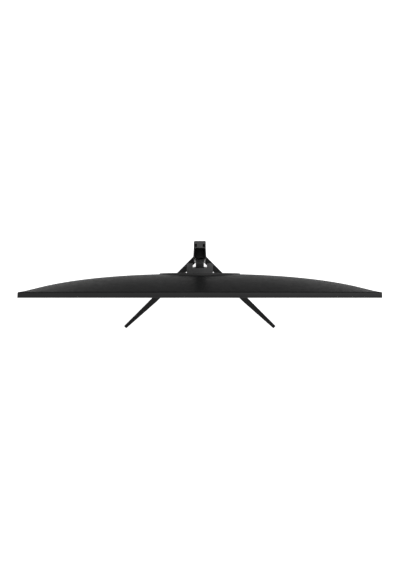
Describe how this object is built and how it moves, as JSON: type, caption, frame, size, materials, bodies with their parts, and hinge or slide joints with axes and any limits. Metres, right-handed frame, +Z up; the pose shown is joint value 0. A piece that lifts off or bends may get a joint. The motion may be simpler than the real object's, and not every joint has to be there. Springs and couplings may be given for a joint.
{
  "type": "computer monitor",
  "caption": "Flat wide-screen computer monitor with a domed rear cover on a V-leg stand, adjustable in height and tilt, with a rear control stick.",
  "frame": {"origin": "on the table, at the centre of the outline seen from above: the leg tips in front, the column's back behind", "axes": "+Z up, +X along the screen's width, -Y the way the screen faces"},
  "size_m": [0.614, 0.1674, 0.453],
  "materials": {
    "bezel_plastic": "fine satin moulded texture",
    "cover_plastic": "fine spark-eroded texture",
    "screen": "anti-glare polariser",
    "diffuser": "satin film",
    "acrylic": "clear",
    "led_board": "white solder mask",
    "sheet_steel": "zinc plated sheet",
    "circuit_board": "green solder mask",
    "cable_film": "flat cable",
    "connector_metal": "nickel plated",
    "brass": "turned",
    "screw_steel": "black zinc",
    "switch_plastic": "moulded",
    "lens": "translucent",
    "stand_metal": "fine powder coat",
    "cast_metal": "die cast",
    "shaft_steel": "ground",
    "slide_plastic": "acetal",
    "spring_steel": "blued",
    "rubber": "matt"
  },
  "bodies": {
    "stand": {"column": "stand_metal", "column_cap": "cover_plastic", "column_foot": "stand_metal", "column_screws": "screw_steel", "base_hub": "stand_metal", "leg_left": "stand_metal", "leg_right": "stand_metal", "leg_screws": "screw_steel", "rubber_feet": "rubber", "rail_liners": "slide_plastic", "spring_band": "spring_steel"},
    "lift": {"lift_arm": "stand_metal", "arm_screws": "screw_steel", "carriage": "cast_metal", "carriage_cover": "slide_plastic"},
    "reel": {"spring_drum": "slide_plastic", "spring_roll": "spring_steel"},
    "head": {"front_bezel": "bezel_plastic", "lcd_glass": "screen", "film_stack": "diffuser", "light_guide": "acrylic", "reflector_sheet": "diffuser", "led_strip": "led_board", "mid_frame": "switch_plastic", "panel_chassis": "sheet_steel", "rear_cover": "cover_plastic", "port_bay": "cover_plastic", "shield_box": "sheet_steel", "main_board": "circuit_board", "power_board": "circuit_board", "tcon_board": "circuit_board", "flat_cable": "cable_film", "io_ports": "connector_metal", "vesa_plate": "sheet_steel", "vesa_inserts": "brass", "mount_boss": "cover_plastic", "boss_screws": "screw_steel", "bay_screws": "screw_steel", "osd_board": "circuit_board", "joystick_base": "switch_plastic", "power_led_lens": "lens", "release_plate": "stand_metal", "tilt_bracket": "stand_metal", "bracket_screws": "screw_steel", "hinge_shaft": "shaft_steel", "hinge_washers": "shaft_steel", "hinge_nuts": "shaft_steel", "hinge_caps": "cover_plastic"},
    "stick_up_down": {"joystick_gimbal": "switch_plastic"},
    "stick_left_right": {"joystick_stem": "switch_plastic"},
    "stick_press": {"joystick_cap": "cover_plastic"},
    "release": {"release_button": "cover_plastic"}
  },
  "joints": [
    {"name": "height", "type": "slide", "parent": "stand", "child": "lift", "axis": [0, 0, 1], "range_m": [-0.06, 0.07]},
    {"name": "tilt", "type": "hinge", "parent": "lift", "child": "head", "pos_m": [0, 0.0385, 0.272], "axis": [-1, 0, 0], "range_deg": [-5, 15]},
    {"name": "reel_spin", "type": "hinge", "parent": "lift", "child": "reel", "pos_m": [0, 0.0726, 0.296], "axis": [1, 0, 0], "range_deg": [-640, 550]},
    {"name": "stick_up_down", "type": "hinge", "parent": "head", "child": "stick_up_down", "pos_m": [0.228, -0.0006, 0.128], "axis": [1, 0, 0], "range_deg": [-6, 6], "stiffness_Nm_per_rad": 0.02},
    {"name": "stick_left_right", "type": "hinge", "parent": "stick_up_down", "child": "stick_left_right", "pos_m": [0.228, -0.0006, 0.128], "axis": [0, 0, 1], "range_deg": [-6, 6], "stiffness_Nm_per_rad": 0.02},
    {"name": "stick_press", "type": "slide", "parent": "stick_left_right", "child": "stick_press", "axis": [0, -1, 0], "range_m": [0, 0.0008], "stiffness_N_per_m": 600},
    {"name": "release_push", "type": "slide", "parent": "head", "child": "release", "axis": [0, 0, 1], "range_m": [0, 0.003], "stiffness_N_per_m": 400}
  ],
  "couplings": [
    {"joint": "reel_spin", "follows": "height", "rad_per_m": -156.25}
  ]
}
